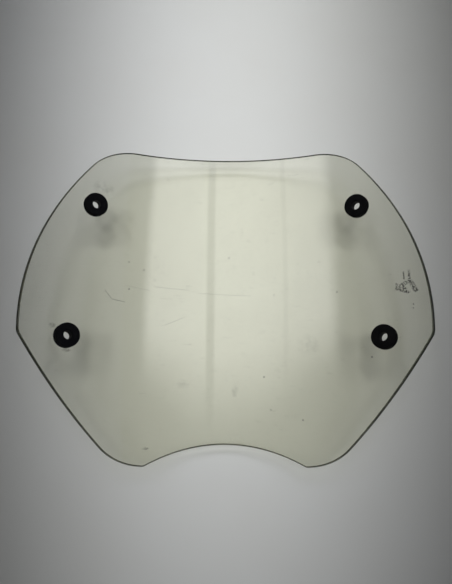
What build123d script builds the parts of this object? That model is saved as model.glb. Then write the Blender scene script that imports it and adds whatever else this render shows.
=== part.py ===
from build123d import *
import os
from math import asin, cos, sin, sqrt

# Windshield screen lying on its convex outer face, hollow side up.
# +X is across the screen, +Y points to its top edge, +Z is up; millimetres.

# Panel: the outline is given at half the sheet's thickness, seen from straight above
panel_width = 372.6  # between the side corners, past which the bowed sides stand out a little
panel_length = 328.3  # from the feet to the middle of the top edge
panel_thickness = 4.0
edge_round = 1.0

# Panel: the outer face is bent across its width and, more gently, along its length
cross_radius = 247.0
long_radius = 667.0
rest_y = 4.5  # the lowest point of the outer face, under the centre of mass

# Outline: where its corners stand before they are rounded
top_span = 244.2  # between the ears
top_crown = 5.9  # how far the top edge's middle stands above the ears
side_drop = 43.4  # from the panel's middle down to the side corners
heel_span = 204.4
heel_lift = 3.3  # of the heels above the feet
foot_span = 154.6
hollow_depth = 18.6  # of the bottom edge, up from the feet

# Outline: how far each side bows out from its chord, and the corner roundings
upper_side_bow = 21.8
lower_side_bow = 5.8
ear_round = 57.0
side_round = 18.5
heel_round = 55.0
foot_round = 6.0

# Grommets: rubber rings gripping the panel round its four holes
upper_hole_inset = 5.2  # in from the straight line between an ear and its side corner
upper_hole_drop = 68.4  # below the top edge's middle
lower_hole_inset = 33.2  # in from the side corners
lower_hole_lift = 0.8  # above the side corners
hole_diameter = 16.0
grommet_diameter = 24.0
grommet_length = 10.0
grommet_rim_round = 1.2
grommet_bore = 8.6
bore_lead = 0.3

# Spots seen from above, on the right half
top = panel_length / 2
ear = (top_span / 2, top - top_crown)
side_corner = (panel_width / 2, -side_drop)
heel = (heel_span / 2, heel_lift - top)
foot = (foot_span / 2, -top)
side_lean = (side_corner[0] - ear[0]) / (ear[1] - side_corner[1])  # outward for each step down
upper_hole = (ear[0] + side_lean * (upper_hole_drop - top_crown) - upper_hole_inset, top - upper_hole_drop)
lower_hole = (panel_width / 2 - lower_hole_inset, lower_hole_lift - side_drop)

# Cuts and blanks reach this far past what they trim
margin = 20.0


# A spot of the right half, moved to the right (1) or left (-1) side.
def on_side(spot, side):
    return (side * spot[0], spot[1])


# The outline's corners of one kind, left and right.
def corners(sketch, spot):
    return [v for v in sketch.vertices() if abs(abs(v.X) - spot[0]) < 0.01 and abs(v.Y - spot[1]) < 0.01]


# How high the face at a depth into the sheet is, at a distance along Y from its lowest point.
def rise(depth, reach):
    radius = long_radius - depth
    return depth + radius - sqrt(radius**2 - reach**2)


# Start, middle and end of that face's long arc, drawn level with the turn axis and out from it along X.
def long_arc(depth):
    reach = top + margin
    end = cross_radius - rise(depth, reach)
    return ((end, rest_y - reach), (cross_radius - depth, rest_y), (end, rest_y + reach))


# The plane at half the sheet's thickness, under a spot given from above.
# Its Z axis is the local normal, pointing to the hollow side.
def seat(spot):
    reach = spot[1] - rest_y
    pitch = asin(reach / (long_radius - panel_thickness / 2))
    arm = cross_radius - rise(panel_thickness / 2, reach)
    roll = asin(spot[0] / arm)
    centre = (spot[0], spot[1], cross_radius - arm * cos(roll))
    normal = (-sin(roll) * cos(pitch), -sin(pitch), cos(roll) * cos(pitch))
    return Plane(origin=centre, x_dir=(cos(roll), 0, sin(roll)), z_dir=normal)


# Outline from above: a nearly straight top, bowed sides and a hollow bottom edge between two feet
with BuildSketch(Plane.XY) as outline:
    with BuildLine():
        ThreePointArc(on_side(ear, -1), (0, top), ear)
        ThreePointArc(on_side(foot, -1), (0, hollow_depth - top), foot)
        for side in (1, -1):
            SagittaArc(on_side(ear, side), on_side(side_corner, side), side * upper_side_bow)
            SagittaArc(on_side(side_corner, side), on_side(heel, side), side * lower_side_bow)
            Line(on_side(heel, side), on_side(foot, side))
    make_face()
    fillet(corners(outline, ear), ear_round)
    fillet(corners(outline, side_corner), side_round)
    fillet(corners(outline, heel), heel_round)
    fillet(corners(outline, foot), foot_round)

# The bent sheet: a strip between two long arcs, turned half round the axis over the screen
turn_axis = Axis((0, 0, cross_radius), (0, 1, 0))
with BuildPart() as bent_sheet:
    with BuildSketch(Plane.XY.offset(cross_radius)):
        with BuildLine():
            outer_arc = ThreePointArc(*long_arc(0))
            inner_arc = ThreePointArc(*long_arc(panel_thickness))
            Line(outer_arc @ 0, inner_arc @ 0)
            Line(outer_arc @ 1, inner_arc @ 1)
        make_face()
    revolve(axis=turn_axis, revolution_arc=180)

# The middle face inside the outline, which a thicker core with square edges grows from
with BuildLine(Plane.XY.offset(cross_radius)) as middle_arc:
    ThreePointArc(*long_arc(panel_thickness / 2))
middle_bowl = Face.revolve(middle_arc.edge(), 180, turn_axis)
middle_face = middle_bowl & extrude(outline.sketch, cross_radius)

# Panel: what the core and the bent sheet share, with four holes and rounded rims
with BuildPart() as panel:
    thicken(middle_face, panel_thickness, both=True)
    add(bent_sheet.part, mode=Mode.INTERSECT)
    for spot in (upper_hole, lower_hole):
        for side in (-1, 1):
            with Locations(seat(on_side(spot, side))):
                Cylinder(hole_diameter / 2, panel_thickness + margin, mode=Mode.SUBTRACT)
    outer_rim, inner_rim = [f.outer_wire().edges() for f in panel.faces().sort_by(SortBy.AREA)[-2:]]
    fillet(outer_rim + inner_rim, edge_round)
panel.part.label = "windshield_panel"

# Grommets: the panel is cut out of each, so the neck fills the hole and the groove follows the curve
grommets = []
for height, spot in (("upper", upper_hole), ("lower", lower_hole)):
    for hand, side in (("left", -1), ("right", 1)):
        with BuildPart() as grommet:
            with Locations(seat(on_side(spot, side))):
                Cylinder(grommet_diameter / 2, grommet_length)
                fillet(grommet.edges().filter_by(GeomType.CIRCLE), grommet_rim_round)
                Hole(grommet_bore / 2)
            mouths = grommet.edges().filter_by(GeomType.CIRCLE)
            chamfer(mouths.filter_by(lambda e: e.radius < grommet_bore / 2 + 0.01), bore_lead)
            add(panel.part, mode=Mode.SUBTRACT)
        grommet.part.label = f"grommet_{height}_{hand}"
        grommets.append(grommet.part)

os.makedirs("parts", exist_ok=True)
for piece in (panel.part, *grommets):
    export_step(piece, f"parts/{piece.label}.step")
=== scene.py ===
from math import cos, pi, radians, sin

import bpy
import numpy as np
from mathutils import Matrix
from mathutils.geometry import delaunay_2d_cdt


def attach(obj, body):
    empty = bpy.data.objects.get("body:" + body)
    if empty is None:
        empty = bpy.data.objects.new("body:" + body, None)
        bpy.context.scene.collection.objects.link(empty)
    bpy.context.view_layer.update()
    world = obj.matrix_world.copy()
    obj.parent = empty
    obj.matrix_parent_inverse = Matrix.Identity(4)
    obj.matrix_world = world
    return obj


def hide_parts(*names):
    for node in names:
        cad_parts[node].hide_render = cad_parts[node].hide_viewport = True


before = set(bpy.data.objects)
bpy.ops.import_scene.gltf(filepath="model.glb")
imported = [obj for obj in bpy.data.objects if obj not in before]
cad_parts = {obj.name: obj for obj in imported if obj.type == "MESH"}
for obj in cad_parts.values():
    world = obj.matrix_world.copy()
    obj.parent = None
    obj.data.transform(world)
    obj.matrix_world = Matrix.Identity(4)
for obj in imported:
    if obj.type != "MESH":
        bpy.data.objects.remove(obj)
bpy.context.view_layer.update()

# Windshield screen lying on its outer face, hollow side up: a bent clear sheet and four rubber grommets.
# +X is across it, +Y points to its top edge, +Z is up; metres.
scene = bpy.context.scene
print("frame loaded:", sorted(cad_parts))


# Unit vectors: each row divided by its own length.
def unit(rows):
    return rows / np.linalg.norm(rows, axis=-1, keepdims=True)


# Quads of a grid with the given rows and columns, row by row; the columns close on themselves,
# and the rows do too if asked. Vertex number = row * columns + column.
def ringQuads(rows, columns, closeRows=False):
    row = np.arange(rows if closeRows else rows - 1)[:, None]
    column = np.arange(columns)[None, :]
    nextRow, nextColumn = (row + 1) % rows, (column + 1) % columns
    corners = [row * columns + column, row * columns + nextColumn,
               nextRow * columns + nextColumn, nextRow * columns + column]
    return np.stack([c.ravel() for c in np.broadcast_arrays(*corners)], axis=1)


# A mesh piece from points and groups of faces. A group has a material and a normal for each face corner.
def makePiece(name, points, groups):
    mesh = bpy.data.meshes.new(name)
    faces = [face for group in groups for face in group["faces"].tolist()]
    mesh.from_pydata(points.tolist(), [], faces)
    for group in groups:
        if group["material"].name not in mesh.materials:
            mesh.materials.append(group["material"])
    slots = [np.full(len(g["faces"]), mesh.materials.find(g["material"].name)) for g in groups]
    mesh.polygons.foreach_set("material_index", np.concatenate(slots).astype(np.int32))
    mesh.polygons.foreach_set("use_smooth", np.ones(len(faces), dtype=bool))
    normals = np.concatenate([g["normals"].reshape(-1, 3) for g in groups])
    mesh.normals_split_custom_set(normals.tolist())
    mesh.update()
    piece = bpy.data.objects.new(name, mesh)
    scene.collection.objects.link(piece)
    print(f"{name}: {len(points)} points, {len(faces)} faces")
    return piece


panel = {
    "width": 0.3726,  # between the side corners
    "length": 0.3283,  # from the feet to the middle of the top edge
    "thickness": 0.004,
    "edgeRound": 0.001,
    "acrossRadius": 0.247,
    "alongRadius": 0.667,
    "restY": 0.0045,  # the lowest point of the outer face
    "topSpan": 0.2442,
    "topCrown": 0.0059,
    "sideDrop": 0.0434,
    "heelSpan": 0.2044,
    "heelLift": 0.0033,
    "footSpan": 0.1546,
    "hollow": 0.0186,
    "upperBow": 0.0218,
    "lowerBow": 0.0058,
    "rounds": (0.057, 0.0185, 0.055, 0.006),  # ears, side corners, heels, feet
    "outlineStep": 0.0013,
    "faceStep": 0.0042,
    "rowPitch": 0.866,  # of the faces' triangles, in steps
    "rimSpace": 0.45,  # kept free of inner points beside the rim, in steps
    "holeSpace": 0.35,  # and beside the holes
    "roundSteps": 5,
}

grommet = {
    "upperInset": 0.0052,  # in from the line between an ear and its side corner
    "upperDrop": 0.0684,
    "lowerInset": 0.0332,
    "lowerLift": 0.0008,
    "hole": 0.008,  # radii from here on
    "flange": 0.012,
    "bore": 0.0043,
    "halfLength": 0.005,
    "rimRound": 0.0012,
    "lead": 0.0003,
    "gap": 0.00006,  # left between the rubber and the sheet
    "lipRound": 0.0003,  # of the flange's inner lip
    "mouthRound": 0.00025,
    "crisp": 0.0002,  # how near to a corner the next row stands, to keep the corner crisp
    "turns": 96,
}


# Middle of the sheet over points seen from above: the long arc's rise brings the face nearer to the axis
# across the screen, and a circle about that axis gives the height. Normals point to the hollow side.
def bowl(plan):
    x, reach = plan[..., 0], plan[..., 1] - panel["restY"]
    middle = panel["thickness"] / 2
    longRadius = panel["alongRadius"] - middle
    arm = panel["acrossRadius"] - middle - longRadius + np.sqrt(longRadius**2 - reach**2)
    pitch, roll = np.arcsin(reach / longRadius), np.arcsin(x / arm)
    points = np.stack([x, plan[..., 1], panel["acrossRadius"] - arm * np.cos(roll)], axis=-1)
    level = np.cos(pitch)
    normals = np.stack([-np.sin(roll) * level, -np.sin(pitch), np.cos(roll) * level], axis=-1)
    return points, normals


# The same spots on the sheet rolled out flat: the across angle times the radius, and Y.
def rollOut(plan):
    points, _ = bowl(plan)
    angle = np.arctan2(points[..., 0], panel["acrossRadius"] - points[..., 2])
    return np.stack([panel["acrossRadius"] * angle, plan[..., 1]], axis=-1)


# And back: the arm at that Y times the sine of the angle.
def rollBack(flat):
    reach = flat[..., 1] - panel["restY"]
    middle = panel["thickness"] / 2
    longRadius = panel["alongRadius"] - middle
    arm = panel["acrossRadius"] - middle - longRadius + np.sqrt(longRadius**2 - reach**2)
    return np.stack([arm * np.sin(flat[..., 0] / panel["acrossRadius"]), flat[..., 1]], axis=-1)


# Circle of the arc from one corner to the next with a given bow: half the chord squared and the bow give
# its radius, which is negative where the side is hollow. Going clockwise, outward is on the left.
def bowCircle(start, end, bow):
    chord = end - start
    span = np.linalg.norm(chord)
    radius = (span**2 / 4 + bow**2) / (2 * bow)
    outward = np.array([-chord[1], chord[0]]) / span
    return (start + end) / 2 - outward * (radius - bow), radius


# Centre of the rounding that touches two circles inside the outline: where the circles moved in by the
# rounding's radius meet, nearest to the corner.
def roundCentre(first, second, radius, corner):
    (p, pRadius), (q, qRadius) = first, second
    a, b, gap = abs(pRadius - radius), abs(qRadius - radius), np.linalg.norm(q - p)
    along = (a**2 - b**2 + gap**2) / (2 * gap)
    aside = np.sqrt(a**2 - along**2)
    u = (q - p) / gap
    v = np.array([-u[1], u[0]])
    spots = [p + u * along + v * aside, p + u * along - v * aside]
    return min(spots, key=lambda spot: np.linalg.norm(spot - corner))


# Outline from above, clockwise from the middle of the top edge: arcs and roundings that touch, the right
# half worked out and the left its mirror image.
def outlinePlan():
    top = panel["length"] / 2
    corners = np.array([
        (panel["topSpan"] / 2, top - panel["topCrown"]),
        (panel["width"] / 2, -panel["sideDrop"]),
        (panel["heelSpan"] / 2, panel["heelLift"] - top),
        (panel["footSpan"] / 2, -top),
    ])
    mirror = np.array([-1, 1])
    nearlyStraight = 1e-7
    stops = [corners[0] * mirror, *corners, corners[3] * mirror]
    bows = [panel["topCrown"], panel["upperBow"], panel["lowerBow"], nearlyStraight, -panel["hollow"]]
    sides = [bowCircle(a, b, bow) for a, b, bow in zip(stops, stops[1:], bows)]
    arcs, last = [], np.array([0, top])
    for i, (corner, radius) in enumerate(zip(corners, panel["rounds"])):
        centre = roundCentre(sides[i], sides[i + 1], radius, corner)
        (p, pRadius), (q, qRadius) = sides[i], sides[i + 1]
        leave = p + unit(centre - p) * abs(pRadius)
        join = q + unit(centre - q) * abs(qRadius)
        arcs += [(p, last, leave), (centre, leave, join)]
        last = join
    arcs.append((sides[4][0], last, np.array([0, panel["hollow"] - top])))
    runs = []
    for centre, start, end in arcs:
        a, b = start - centre, end - centre
        radius, begin = np.linalg.norm(a), np.arctan2(a[1], a[0])
        swing = (np.arctan2(b[1], b[0]) - begin + pi) % (2 * pi) - pi
        count = max(3, int(np.ceil(abs(swing) * radius / panel["outlineStep"])))
        angle = begin + swing * np.arange(count) / count
        runs.append(centre + radius * np.stack([np.cos(angle), np.sin(angle)], axis=1))
    half = np.concatenate([*runs, [arcs[-1][2]]])
    return np.concatenate([half, (half * mirror)[-2:0:-1]])


# Rounded square edge of the sheet, from the hollow face to the outer one: how far out of the rounding's
# start each point stands, and how far up from the sheet's middle.
def edgeProfile():
    r, half = panel["edgeRound"], panel["thickness"] / 2
    quarter = np.linspace(0, pi / 2, panel["roundSteps"] + 1)
    out = np.concatenate([r * np.sin(quarter), r * np.cos(quarter)]) - r
    up = np.concatenate([half - r + r * np.cos(quarter), r - half - r * np.sin(quarter)])
    return out, up


# Seats of the grommets: the middle of each hole with its two directions along the sheet and its normal.
def seats():
    top, wide = panel["length"] / 2, panel["width"] / 2
    lean = (wide - panel["topSpan"] / 2) / (top - panel["topCrown"] + panel["sideDrop"])
    belowEar = grommet["upperDrop"] - panel["topCrown"]
    upperX = panel["topSpan"] / 2 + lean * belowEar - grommet["upperInset"]
    spots = {
        "upper": (upperX, top - grommet["upperDrop"]),
        "lower": (wide - grommet["lowerInset"], grommet["lowerLift"] - panel["sideDrop"]),
    }
    found = {}
    for height, (x, y) in spots.items():
        for hand, side in (("left", -1), ("right", 1)):
            point, normal = bowl(np.array([side * x, y]))
            across = unit(np.array([normal[2], 0, -normal[0]]))
            found[f"{height}_{hand}"] = (point, across, np.cross(normal, across), normal)
    return found


# Which points lie inside a closed loop: a level line from each crosses the loop an odd number of times.
def inside(points, loop):
    ends = np.roll(loop, -1, axis=0)
    y = points[:, 1:2]
    crosses = (loop[:, 1] > y) != (ends[:, 1] > y)
    rise = ends[:, 1] - loop[:, 1]
    smallest = 1e-12
    rise = np.where(rise == 0, smallest, rise)
    at = loop[:, 0] + (y - loop[:, 1]) * (ends[:, 0] - loop[:, 0]) / rise
    return (np.count_nonzero(crosses & (points[:, 0:1] < at), axis=1) % 2) == 1


# Smallest distance from each point to a loop's points.
def clearance(points, loop):
    across = points[:, 0:1] - loop[:, 0]
    along = points[:, 1:2] - loop[:, 1]
    return np.sqrt((across**2 + along**2).min(axis=1))


def makePanel(materials):
    # The edge: its profile carried round the outline, square to the sheet
    plan = outlinePlan()
    points, normals = bowl(plan)
    travel = unit(np.roll(points, -1, axis=0) - np.roll(points, 1, axis=0))
    outward = unit(np.cross(normals, travel))
    out, up = edgeProfile()
    shifted = plan[None] + outward[None, :, :2] * out[:, None, None]
    ringPoints, ringNormals = bowl(shifted)
    rings = ringPoints + ringNormals * up[:, None, None]
    rounds = panel["roundSteps"]
    tilt = np.concatenate([np.linspace(0, pi / 2, rounds + 1), np.linspace(pi / 2, pi, rounds + 1)])
    ringFacing = outward[None] * np.sin(tilt)[:, None, None] + ringNormals * np.cos(tilt)[:, None, None]

    # The faces: triangles over the rolled-out sheet, between the edge and the four holes
    count = len(plan)
    loops = [rollOut(shifted[0])]
    turn = np.arange(grommet["turns"]) / grommet["turns"] * 2 * pi
    holes = seats()
    for centre, across, along, _ in holes.values():
        circle = centre + grommet["hole"] * (np.cos(turn)[:, None] * across + np.sin(turn)[:, None] * along)
        loops.append(rollOut(circle[:, :2]))
    step = panel["faceStep"]
    low, high = loops[0].min(axis=0), loops[0].max(axis=0)
    rows = np.arange(low[1], high[1], step * panel["rowPitch"])
    columns = np.arange(low[0], high[0], step)
    grid = np.stack(np.meshgrid(columns, rows), axis=-1)
    grid[1::2, :, 0] += step / 2
    grid = grid.reshape(-1, 2)
    grid = grid[inside(grid, loops[0])]
    grid = grid[clearance(grid, loops[0]) > step * panel["rimSpace"]]
    for loop in loops[1:]:
        grid = grid[(clearance(grid, loop) > step * panel["holeSpace"]) & ~inside(grid, loop)]
    flat = np.concatenate([*loops, grid])
    borders, first = [], 0
    for loop in loops:
        number = first + np.arange(len(loop))
        borders.append(np.stack([number, np.roll(number, -1)], axis=1))
        first += len(loop)
    keepInside, tolerance = 1, 1e-7
    done = delaunay_2d_cdt(flat.tolist(), np.concatenate(borders).tolist(), [], keepInside, tolerance)
    triangles = np.array(done[2])
    flat = np.array(done[0])
    middles = flat[triangles].mean(axis=1)
    keep = inside(middles, loops[0])
    for loop in loops[1:]:
        keep &= ~inside(middles, loop)
    triangles = triangles[keep]
    a, b, c = (flat[triangles[:, i]] for i in range(3))
    flipped = (b[:, 0] - a[:, 0]) * (c[:, 1] - a[:, 1]) < (b[:, 1] - a[:, 1]) * (c[:, 0] - a[:, 0])
    triangles[flipped] = triangles[flipped][:, ::-1]
    facePoints, faceNormals = bowl(rollBack(flat))
    half, total = panel["thickness"] / 2, len(flat)
    innerRings = rings[1:-1].reshape(-1, 3)
    allPoints = [facePoints + faceNormals * half, facePoints - faceNormals * half, innerRings]

    # The edge's first and last rings are the faces' own borders
    rim = ringQuads(len(out), count)
    rimNumber = np.empty((len(out), count), dtype=int)
    rimNumber[0], rimNumber[-1] = np.arange(count), total + np.arange(count)
    rimNumber[1:-1] = 2 * total + np.arange((len(out) - 2) * count).reshape(-1, count)
    groups = [
        {"material": materials["hollow"], "faces": triangles, "normals": faceNormals[triangles]},
        {"material": materials["outer"], "faces": triangles[:, ::-1] + total,
         "normals": -faceNormals[triangles[:, ::-1]]},
        {"material": materials["edge"], "faces": rimNumber.ravel()[rim],
         "normals": ringFacing.reshape(-1, 3)[rim]},
    ]

    # The walls of the holes, one strip each
    first = count
    for centre, across, along, _ in holes.values():
        number = first + np.arange(grommet["turns"])
        following = np.roll(number, -1)
        facing = -(np.cos(turn)[:, None] * across + np.sin(turn)[:, None] * along)
        wall = np.stack([number, following, following + total, number + total], axis=1)
        wallNormals = np.stack([facing, np.roll(facing, -1, axis=0)] * 2, axis=1)[:, [0, 1, 3, 2]]
        groups.append({"material": materials["edge"], "faces": wall, "normals": wallNormals})
        first += grommet["turns"]
    return makePiece("clearPanel", np.concatenate(allPoints), groups)


# Half of the section, from the groove's bottom up and over to the bore: distance from the axis, height and
# how far the point follows the sheet's curve. A rounded corner is a quarter circle about its own centre.
def grommetSection():
    neck, flange = grommet["hole"] - grommet["gap"], grommet["flange"]
    bore, top = grommet["bore"], grommet["halfLength"]
    rim, lip, mouth = grommet["rimRound"], grommet["lipRound"], grommet["mouthRound"]
    lead, crisp = grommet["lead"], grommet["crisp"]
    face = panel["thickness"] / 2 + grommet["gap"]
    quarter = np.linspace(0, pi / 2, 7)
    rows = [(neck, 0.0, 0.0), (neck, face, 1.0), (neck + crisp, face, 1.0)]
    rows += [(distance, face, 1.0) for distance in np.linspace(neck + 5 * crisp, flange - lip, 4)]
    rows += [(flange - lip + lip * np.sin(a), face + lip - lip * np.cos(a), 1.0) for a in quarter[1::2]]
    rows += [(flange, face + lip * 1.5, 0.7)]
    rows += [(flange - rim + rim * np.cos(a), top - rim + rim * np.sin(a), 0.0) for a in quarter]
    rows += [(flange - rim - 2 * crisp, top, 0.0), (bore + lead + 3.5 * crisp, top, 0.0)]
    rows += [(bore + lead + mouth, top, 0.0), (bore + lead * 0.9, top - mouth * 0.6, 0.0)]
    rows += [(bore + crisp / 2, top - lead + crisp / 2, 0.0), (bore, top - lead - crisp, 0.0)]
    rows += [(bore, top * 0.5, 0.0), (bore, 0.0, 0.0)]
    return np.array(rows)


# Each grommet is its section turned round the seat's normal. The groove's faces follow the sheet: the
# height grows by the distance across squared over twice the across radius, and so along.
def makeGrommet(name, seat, material):
    upper = grommetSection()
    lower = upper[-2:0:-1] * [1, -1, 1]
    section = np.concatenate([upper, lower])
    centre, across, along, normal = seat
    turn = np.arange(grommet["turns"]) / grommet["turns"] * 2 * pi
    distance, height, follow = (section[:, i][:, None] for i in range(3))
    right, forward = distance * np.cos(turn), distance * np.sin(turn)
    sag = right**2 / (2 * panel["acrossRadius"]) + forward**2 / (2 * panel["alongRadius"])
    lift = height + follow * sag
    points = centre + right[..., None] * across + forward[..., None] * along + lift[..., None] * normal
    rows = len(section)
    quads = ringQuads(rows, grommet["turns"], closeRows=True)
    mesh = bpy.data.meshes.new(name)
    mesh.from_pydata(points.reshape(-1, 3).tolist(), [], quads[:, ::-1].tolist())
    mesh.materials.append(material)
    mesh.polygons.foreach_set("use_smooth", np.ones(len(quads), dtype=bool))
    mesh.update()
    piece = bpy.data.objects.new(name, mesh)
    scene.collection.objects.link(piece)
    print(f"{name}: {rows} rows")
    return piece


# A new material with its node tree cleared down to the output.
def freshMaterial(name):
    material = bpy.data.materials.new(name)
    material.use_nodes = True
    tree = material.node_tree
    tree.nodes.clear()
    return material, tree, tree.nodes.new("ShaderNodeOutputMaterial")


# Adds a node and sets its plain properties and its inputs: a socket is linked, anything else is a value.
def addNode(tree, kind, inputs=None, **settings):
    node = tree.nodes.new("ShaderNode" + kind)
    for key, value in settings.items():
        setattr(node, key, value)
    for key, value in (inputs or {}).items():
        if isinstance(value, bpy.types.NodeSocket):
            tree.links.new(value, node.inputs[key])
        else:
            node.inputs[key].default_value = value
    return node


def objectPlace(tree):
    return addNode(tree, "TexCoord").outputs["Object"]


# A soft-edged patch: 1 at its middle, falling to 0 at the given half sizes.
def patch(tree, place, centre, sizes):
    inputs = {"Vector": place, "Location": centre, "Scale": sizes}
    moved = addNode(tree, "Mapping", inputs, vector_type="TEXTURE").outputs[0]
    return addNode(tree, "TexGradient", {"Vector": moved}, gradient_type="SPHERICAL").outputs["Fac"]


def mathNode(tree, operation, a, b=0.0):
    return addNode(tree, "Math", {0: a, 1: b}, operation=operation).outputs[0]


# One colour turning into another by the share.
def blend(tree, share, first, second):
    return addNode(tree, "Mix", {0: share, 6: first, 7: second}, data_type="RGBA").outputs[2]


# A value's steady climb from one number to another, held level past both ends.
def ramp(tree, value, low, high, toLow=0.0, toHigh=1.0):
    inputs = {"Value": value, "From Min": low, "From Max": high, "To Min": toLow, "To Max": toHigh}
    return addNode(tree, "MapRange", inputs, clamp=True).outputs["Result"]


# The same climb, but easing in and out.
def smooth(tree, value, low, high, toLow=0.0, toHigh=1.0):
    inputs = {"Value": value, "From Min": low, "From Max": high, "To Min": toLow, "To Max": toHigh}
    return addNode(tree, "MapRange", inputs, interpolation_type="SMOOTHSTEP").outputs["Result"]


def noise(tree, place, scale, detail, roughness):
    return addNode(tree, "TexNoise", {"Vector": place, "Scale": scale, "Detail": detail,
                                      "Roughness": roughness}).outputs["Fac"]


# Clear plastic: the tint of a way through the sheet, and of each face for the lamps' light.
clear = {
    "tint": (0.905, 0.905, 0.81, 1.0),
    "lampTint": (0.96, 0.96, 0.925, 1.0),
    "refraction": 1.585,
    "dullRoughness": 0.6,
}


# The surface as it is, but a plain tint for rays that only ask whether a lamp is hidden.
def letLampsThrough(tree, output, surface, tint):
    path = addNode(tree, "LightPath")
    through = addNode(tree, "BsdfTransparent", {"Color": tint})
    both = addNode(tree, "MixShader", {0: path.outputs["Is Shadow Ray"], 1: surface, 2: through.outputs[0]})
    tree.links.new(both.outputs[0], output.inputs["Surface"])


# Clear sheet face: glass that lets lamps through, with dull marks laid over it where the mask says.
def clearSheet(name, marks):
    material, tree, output = freshMaterial(name)
    glass = addNode(tree, "BsdfPrincipled", {"Base Color": clear["tint"], "Roughness": 0.0,
                                             "IOR": clear["refraction"], "Transmission Weight": 1.0})
    surface = glass.outputs[0]
    if marks is not None:
        mask, colour = marks(tree, objectPlace(tree))
        dull = addNode(tree, "BsdfPrincipled", {"Base Color": colour, "Roughness": clear["dullRoughness"]})
        surface = addNode(tree, "MixShader", {0: mask, 1: surface, 2: dull.outputs[0]}).outputs[0]
    letLampsThrough(tree, output, surface, clear["lampTint"])
    return material


# The cut edge: the same clear plastic tinted olive, mostly under an opaque near-black coat that is painted
# shade.
edge = {
    "tint": (0.30, 0.31, 0.20, 1.0),
    "clearRoughness": 0.12,
    # Painted shade: the near-black look of a clear edge seen from the side, given as an opaque colour
    "paintedEdgeShade": (0.020, 0.021, 0.012, 1.0),
    "paintedEdgeShadeRoughness": 0.3,
    "share": (0.62, 0.82),  # of the painted shade in it, from place to place
    "shareScale": 60,
    "sawScale": 700,
    "sawStrength": 0.15,
    "sawDepth": 0.0002,
}


def cutEdgeMaterial():
    material, tree, output = freshMaterial("cutEdgeGlassAndPaintedShade")
    place = objectPlace(tree)
    sawn = noise(tree, place, edge["sawScale"], 2.0, 0.5)
    bump = addNode(tree, "Bump", {"Height": sawn, "Strength": edge["sawStrength"],
                                  "Distance": edge["sawDepth"]})
    glass = addNode(tree, "BsdfPrincipled", {"Base Color": edge["tint"], "Roughness": edge["clearRoughness"],
                                             "IOR": clear["refraction"], "Transmission Weight": 1.0,
                                             "Normal": bump.outputs[0]})
    # Opaque near-black coat over most of the edge: painted shade for the dark look of a clear plastic edge
    paintedEdgeShade = addNode(tree, "BsdfPrincipled", {"Base Color": edge["paintedEdgeShade"], "Roughness": edge["paintedEdgeShadeRoughness"],
                                            "Normal": bump.outputs[0]})
    share = ramp(tree, noise(tree, place, edge["shareScale"], 2.0, 0.5), 0.3, 0.7, *edge["share"])
    surface = addNode(tree, "MixShader", {0: share, 1: glass.outputs[0], 2: paintedEdgeShade.outputs[0]})
    letLampsThrough(tree, output, surface.outputs[0], edge["tint"])
    return material


# Marks on the hollow face: a broken scuff, thin scratches, specks, smudges, haze and fine rub lines, which
# are wear, and two dark patches beside and just below the lower left grommet.
wear = {
    "colour": (0.03, 0.03, 0.027, 1.0),
    "gritScale": 800,
    "cloudScale": 180,
    "hazeScale": 22,
    "hazeMost": 0.022,
    "rubScale": 700,
    "rubDrawn": (0.12, 1.0, 0.4),  # the rub lines' noise is drawn out across the sheet
    "rubMost": 0.10,
    "speckMost": 0.6,
    "scuffMost": 0.95,
    "scuffCentre": (0.1700, 0.0070),
    "scuffStrokes": [  # from, to and half width, all in millimetres from the scuff's centre
        ((0.2, 11.0), (0.2, 3.2), 0.5),
        ((3.9, 11.5), (3.9, 1.8), 0.8),
        ((4.0, 1.7), (-0.7, -0.8), 1.6),
        ((-0.7, -0.8), (-4.6, -3.4), 1.6),
        ((-5.3, -4.2), (2.3, -9.3), 1.3),
        ((-1.3, -1.5), (1.0, -8.0), 1.3),
        ((5.0, -0.5), (7.4, -8.9), 1.5),
        ((-5.3, 0.4), (-5.0, -3.8), 0.8),
    ],
    "scratches": [  # from and to in plan, half width and strength
        ((-0.1244, 0.0073), (-0.1176, -0.0013), 0.00035, 0.40),
        ((-0.1176, -0.0013), (-0.1054, -0.0030), 0.00035, 0.46),
        ((-0.0646, -0.0248), (-0.0440, -0.0151), 0.00030, 0.18),
        ((-0.0770, 0.0165), (-0.0410, 0.0150), 0.00030, 0.18),
        ((-0.0300, 0.0120), (0.0270, 0.0095), 0.00030, 0.14),
        ((-0.1060, 0.0150), (-0.0820, 0.0120), 0.00030, 0.14),
    ],
    "specks": [  # centre and half size
        ((-0.1036, 0.0407, 0.0282), 0.0009),
        ((-0.1023, 0.0114, 0.0266), 0.0010),
        ((0.0403, -0.0788, 0.0126), 0.0010),
        ((0.1411, -0.0613, 0.0532), 0.0011),
        ((0.0767, -0.1210, 0.0291), 0.0009),
        ((0.0464, -0.1118, 0.0189), 0.0008),
        ((0.1750, -0.0144, 0.0787), 0.0009),
        ((0.1747, -0.0181, 0.0785), 0.0008),
        ((0.0034, 0.0529, 0.0057), 0.0008),
        ((0.0527, 0.0096, 0.0098), 0.0007),
        ((0.1158, 0.0076, 0.0333), 0.0009),
        ((-0.0885, 0.0339, 0.0213), 0.0009),
    ],
    "smudges": [  # centre, half sizes and strength
        ((0.0102, -0.0931, 0.0114), (0.0042, 0.0070, 0.005), 0.11),
        ((-0.1291, 0.1148, 0.0521), (0.012, 0.009, 0.02), 0.13),
        ((-0.1636, -0.0343, 0.0687), (0.0035, 0.0028, 0.006), 0.40),
        ((-0.1513, -0.0568, 0.0604), (0.0045, 0.0022, 0.006), 0.32),
        ((0.0876, -0.0464, 0.0215), (0.016, 0.012, 0.010), 0.06),
        ((-0.0416, -0.0874, 0.0165), (0.010, 0.006, 0.008), 0.07),
        ((-0.0764, -0.1480, 0.0340), (0.0040, 0.0016, 0.008), 0.34),
    ],
}


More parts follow.
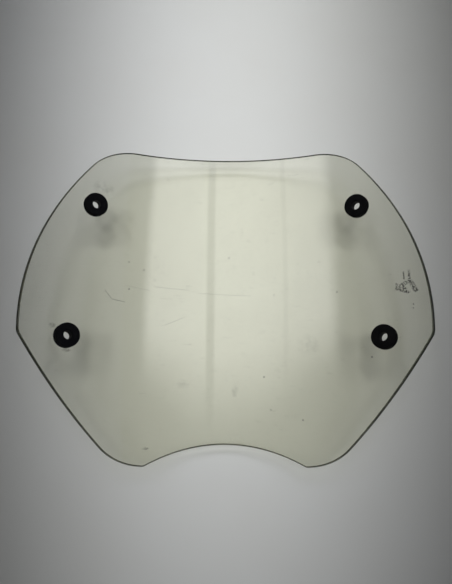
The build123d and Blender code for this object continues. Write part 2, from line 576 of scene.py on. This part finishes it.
# A soft line on the plan: a spot's distance from its foot on the line, faded out over the half width.
def stroke(tree, flat, start, end, half):
    span = np.subtract(end, start)
    length = float(np.hypot(*span))
    along = (*(span / length), 0.0)
    away = addNode(tree, "VectorMath", {0: flat, 1: (*start, 0.0)}, operation="SUBTRACT").outputs[0]
    reach = addNode(tree, "VectorMath", {0: away, 1: along}, operation="DOT_PRODUCT").outputs["Value"]
    held = addNode(tree, "Clamp", {"Value": reach, "Min": 0.0, "Max": length}).outputs[0]
    foot = addNode(tree, "VectorMath", {0: along, "Scale": held}, operation="SCALE").outputs[0]
    gap = addNode(tree, "VectorMath", {0: away, 1: foot}, operation="DISTANCE").outputs["Value"]
    return smooth(tree, gap, half * 0.4, half * 1.5, 1.0, 0.0)


def times(tree, a, b):
    return mathNode(tree, "MULTIPLY", a, b)


# How strongly each spot is marked, from 0 to 1, and the marks' colour.
def wornMarks(tree, place):
    flat = addNode(tree, "VectorMath", {0: place, 1: (1.0, 1.0, 0.0)}, operation="MULTIPLY").outputs[0]
    grit = noise(tree, place, wear["gritScale"], 3.0, 0.6)
    cloudy = noise(tree, place, wear["cloudScale"], 3.0, 0.6)
    millimetre = 0.001
    scuff = 0.0
    for start, end, half in wear["scuffStrokes"]:
        start, end = (np.add(wear["scuffCentre"], np.multiply(spot, millimetre)) for spot in (start, end))
        scuff = mathNode(tree, "MAXIMUM", scuff, stroke(tree, flat, start, end, half * millimetre))
    mask = times(tree, times(tree, scuff, ramp(tree, grit, 0.42, 0.56)), wear["scuffMost"])
    for start, end, half, strength in wear["scratches"]:
        line = times(tree, stroke(tree, flat, start, end, half), strength)
        mask = mathNode(tree, "MAXIMUM", mask, times(tree, line, ramp(tree, grit, 0.3, 0.5)))
    for spot, size in wear["specks"]:
        speck = ramp(tree, patch(tree, place, spot, (size, size, size)), 0.05, 0.5, 0.0, wear["speckMost"])
        mask = mathNode(tree, "MAXIMUM", mask, speck)
    for spot, sizes, strength in wear["smudges"]:
        film = ramp(tree, patch(tree, place, spot, sizes), 0.0, 0.5, 0.0, strength)
        mask = mathNode(tree, "MAXIMUM", mask, times(tree, film, ramp(tree, cloudy, 0.35, 0.6)))
    haze = ramp(tree, noise(tree, place, wear["hazeScale"], 4.0, 0.6), 0.4, 0.75, 0.0, wear["hazeMost"])
    drawn = addNode(tree, "Mapping", {"Vector": place, "Scale": wear["rubDrawn"]}).outputs[0]
    lines = ramp(tree, noise(tree, drawn, wear["rubScale"], 2.0, 0.5), 0.60, 0.72, 0.0, wear["rubMost"])
    thin = mathNode(tree, "ADD", haze, times(tree, lines, ramp(tree, cloudy, 0.45, 0.6)))
    return mathNode(tree, "ADD", mask, thin), wear["colour"]


# Black rubber: matt, finely grained and a little greyer in clouds.
rubber = {
    "black": (0.0022, 0.0022, 0.0028, 1.0),
    "grey": (0.005, 0.005, 0.0055, 1.0),
    "grainScale": 900,
    "grainStrength": 0.12,
    "grainDepth": 0.0002,
    "roughness": (0.62, 0.8),
    "shine": 0.2,
    "cloudScale": 160,
}


def grommetRubber():
    material, tree, output = freshMaterial("grommetRubber")
    place = objectPlace(tree)
    grain = noise(tree, place, rubber["grainScale"], 3.0, 0.6)
    cloudy = ramp(tree, noise(tree, place, rubber["cloudScale"], 3.0, 0.55), 0.4, 0.75)
    colour = blend(tree, cloudy, rubber["black"], rubber["grey"])
    bump = addNode(tree, "Bump", {"Height": grain, "Strength": rubber["grainStrength"],
                                  "Distance": rubber["grainDepth"]})
    shader = addNode(tree, "BsdfPrincipled", {"Base Color": colour, "Normal": bump.outputs[0],
                                              "Roughness": ramp(tree, grain, 0.3, 0.7, *rubber["roughness"]),
                                              "Specular IOR Level": rubber["shine"]})
    tree.links.new(shader.outputs[0], output.inputs["Surface"])
    return material


# The stage is a pale table top, soft lamps, a ceiling fitting and a dim room.
table = {
    "size": 3.0,
    "drop": 0.0002,  # under the piece, so that the two don't share a plane
    "pale": (0.80, 0.81, 0.81, 1.0),
    "greyer": (0.785, 0.79, 0.785, 1.0),
    "cloudScale": 9,
    "roughness": 0.65,
    "shine": 0.3,
}


def makeTable():
    half, under = table["size"] / 2, -table["drop"]
    mesh = bpy.data.meshes.new("tableTop")
    corners = [(-half, -half, under), (half, -half, under), (half, half, under), (-half, half, under)]
    mesh.from_pydata(corners, [], [(0, 1, 2, 3)])
    material, tree, output = freshMaterial("paleTable")
    cloudy = ramp(tree, noise(tree, objectPlace(tree), table["cloudScale"], 3.0, 0.5), 0.3, 0.7)
    colour = blend(tree, cloudy, table["pale"], table["greyer"])
    shader = addNode(tree, "BsdfPrincipled", {"Base Color": colour, "Roughness": table["roughness"],
                                              "Specular IOR Level": table["shine"]})
    tree.links.new(shader.outputs[0], output.inputs["Surface"])
    mesh.materials.append(material)
    floor = bpy.data.objects.new("tableTop", mesh)
    scene.collection.objects.link(floor)


# Two pools of light side by side, each from four lamps above it, and a faint light from all round.
pool = {
    "power": 12.3,  # of each lamp
    # On the right; those on the left mirror them
    "spots": [(0.04, 0.01, 1.5), (0.04, 0.59, 1.5), (0.62, 0.01, 1.5), (0.62, 0.59, 1.5)],
    "aim": (0.05, 0.292, 0.0),
    "angle": 0.34,
    "stretch": 3.75,
    "colours": {"Left": (0.975, 0.99, 1.01), "Right": (1.0, 1.0, 0.95)},
    "lean": radians(7.0),  # the pools stand further apart at the back
    "radius": 0.19,
    "allRound": 0.012,
    "allRoundColour": (0.98, 1.0, 1.0, 1.0),
}


# Stands an object somewhere with its -Z axis pointing at a spot, stretched along its own Y axis. In plan that
# axis points straight back, or leans from there to the right.
def standLooking(thing, place, spot, stretch, lean):
    back = unit(np.subtract(place, spot))
    along = unit(np.cross(back, (cos(lean), -sin(lean), 0.0)))
    turned = np.eye(4)
    turned[:3, 0], turned[:3, 1], turned[:3, 2] = np.cross(along, back), along * stretch, back
    turned[:3, 3] = place
    thing.matrix_world = Matrix(turned.tolist())


def makeLamps():
    aimX, aimY, aimZ = pool["aim"]
    for hand, side in (("Left", -1), ("Right", 1)):
        for number, (x, y, z) in enumerate(pool["spots"]):
            data = bpy.data.lights.new(f"pool{hand}{number}", "SPOT")
            data.energy = pool["power"]
            data.color = pool["colours"][hand]
            data.spot_size = pool["angle"]
            data.spot_blend = 1.0
            data.shadow_soft_size = pool["radius"]
            lamp = bpy.data.objects.new(data.name, data)
            aim = (side * aimX, aimY, aimZ)
            standLooking(lamp, (side * x, y, z), aim, pool["stretch"], side * pool["lean"])
            lamp.visible_glossy = False
            lamp.visible_transmission = False
            scene.collection.objects.link(lamp)
    world = bpy.data.worlds.new("room")
    world.use_nodes = True
    background = world.node_tree.nodes["Background"]
    background.inputs["Color"].default_value = pool["allRoundColour"]
    background.inputs["Strength"].default_value = pool["allRound"]
    scene.world = world


# A glowing mesh that shows in mirroring faces. The camera doesn't see it, and it lights nothing matt.
def makeGlow(name, corners, faces, material):
    mesh = bpy.data.meshes.new(name)
    mesh.from_pydata(corners, [], faces)
    mesh.materials.append(material)
    glow = bpy.data.objects.new(name, mesh)
    glow.visible_diffuse = False
    glow.visible_camera = False
    glow.visible_shadow = False
    scene.collection.objects.link(glow)
    return glow


# A long bright ceiling fitting with two dark seams, which the hollow face mirrors.
ceiling = {
    "height": 1.5,
    "brightness": 1.69,
    "colour": (1.0, 1.0, 0.97, 1.0),
    "left": (-1.26, -0.98),  # from dark to bright
    "right": (0.65, 0.80),  # from bright to dark
    "near": (0.200, 0.235),  # from dark to bright
    "far": (0.355, 0.420),  # from bright to dark
    "flare": (0.3, 0.35),  # how far the left and right borders spread for each step from near to far
    "farBow": 0.07,  # how much further the far border stands for each square metre off the middle
    "spare": 0.3,  # of the card, past the borders
    "seams": ((-0.575, 0.030, 0.26), (0.135, 0.042, 0.66)),  # middle, half width and depth
}


# The fitting is a card that glows by its own place: bright inside its soft borders and dim along the seams.
def makeCeiling():
    material, tree, output = freshMaterial("ceilingGlow")
    x, y, _ = addNode(tree, "SeparateXYZ", {0: objectPlace(tree)}).outputs
    reach = mathNode(tree, "SUBTRACT", y, ceiling["near"][0])
    leftward = mathNode(tree, "ADD", x, times(tree, reach, ceiling["flare"][0]))
    rightward = mathNode(tree, "SUBTRACT", x, times(tree, reach, ceiling["flare"][1]))
    farther = mathNode(tree, "SUBTRACT", y, times(tree, times(tree, x, x), ceiling["farBow"]))
    glow = times(tree, smooth(tree, leftward, *ceiling["left"]), smooth(tree, y, *ceiling["near"]))
    glow = times(tree, glow, smooth(tree, rightward, *ceiling["right"], 1.0, 0.0))
    glow = times(tree, glow, smooth(tree, farther, *ceiling["far"], 1.0, 0.0))
    for middle, half, depth in ceiling["seams"]:
        away = mathNode(tree, "ABSOLUTE", mathNode(tree, "SUBTRACT", x, middle))
        glow = times(tree, glow, smooth(tree, away, half * 0.35, half * 1.3, 1 - depth, 1.0))
    strength = times(tree, glow, ceiling["brightness"])
    shine = addNode(tree, "Emission", {"Color": ceiling["colour"], "Strength": strength})
    tree.links.new(shine.outputs[0], output.inputs["Surface"])

    left, right = ceiling["left"][0] - ceiling["spare"], ceiling["right"][1] + ceiling["spare"]
    near, far, height = ceiling["near"][0], ceiling["far"][1] + ceiling["spare"], ceiling["height"]
    corners = [(left, near, height), (left, far, height), (right, far, height), (right, near, height)]
    makeGlow("ceilingFitting", corners, [(0, 1, 2, 3)], material)


# Dim walls and ceiling. The wall on the right is cool, and the sheet's left side mirrors it.
room = {
    "reach": 3.0,
    "height": 3.2,
    "dim": (0.16, 0.165, 0.16, 1.0),
    "cool": (0.15, 0.16, 0.25, 1.0),
    "turnsCool": (1.2, 2.7),  # from where to where along X
}


def makeRoom():
    material, tree, output = freshMaterial("roomGlow")
    across = addNode(tree, "SeparateXYZ", {0: objectPlace(tree)}).outputs[0]
    share = smooth(tree, across, *room["turnsCool"])
    colour = blend(tree, share, room["dim"], room["cool"])
    shine = addNode(tree, "Emission", {"Color": colour, "Strength": 1.0})
    tree.links.new(shine.outputs[0], output.inputs["Surface"])

    reach = room["reach"]
    plan = [(-reach, -reach), (reach, -reach), (reach, reach), (-reach, reach)]
    corners = [(x, y, z) for z in (0, room["height"]) for x, y in plan]
    faces = [(0, 1, 5, 4), (1, 2, 6, 5), (2, 3, 7, 6), (3, 0, 4, 7), (4, 5, 6, 7)]
    makeGlow("roomWalls", corners, faces, material).visible_transmission = False


view = {
    "lens": 27.74,
    "sensor": 36.0,
    "place": (0.00087, -0.10178, 0.48876),
    "tip": 13.4375,  # forward from straight down, in degrees
    "turn": 0.30,
}


def makeCamera():
    data = bpy.data.cameras.new("camera")
    data.lens, data.sensor_width = view["lens"], view["sensor"]
    camera = bpy.data.objects.new("camera", data)
    camera.location = view["place"]
    camera.rotation_euler = (radians(view["tip"]), 0.0, radians(view["turn"]))
    scene.collection.objects.link(camera)
    scene.camera = camera


makeCamera()
makeTable()
makeLamps()
makeCeiling()
makeRoom()
scene.view_settings.view_transform = "Standard"
print("stage ready")

hollowFace = clearSheet("clearHollowFace", wornMarks)
outerFace = clearSheet("clearOuterFace", None)
cutEdge = cutEdgeMaterial()
rubberMaterial = grommetRubber()

sheet = makePanel({"hollow": hollowFace, "outer": outerFace, "edge": cutEdge})
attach(sheet, "root")
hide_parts("windshield_panel")
for place, seat in seats().items():
    ring = makeGrommet("rubberGrommet_" + place, seat, rubberMaterial)
    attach(ring, "root")
    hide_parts("grommet_" + place)
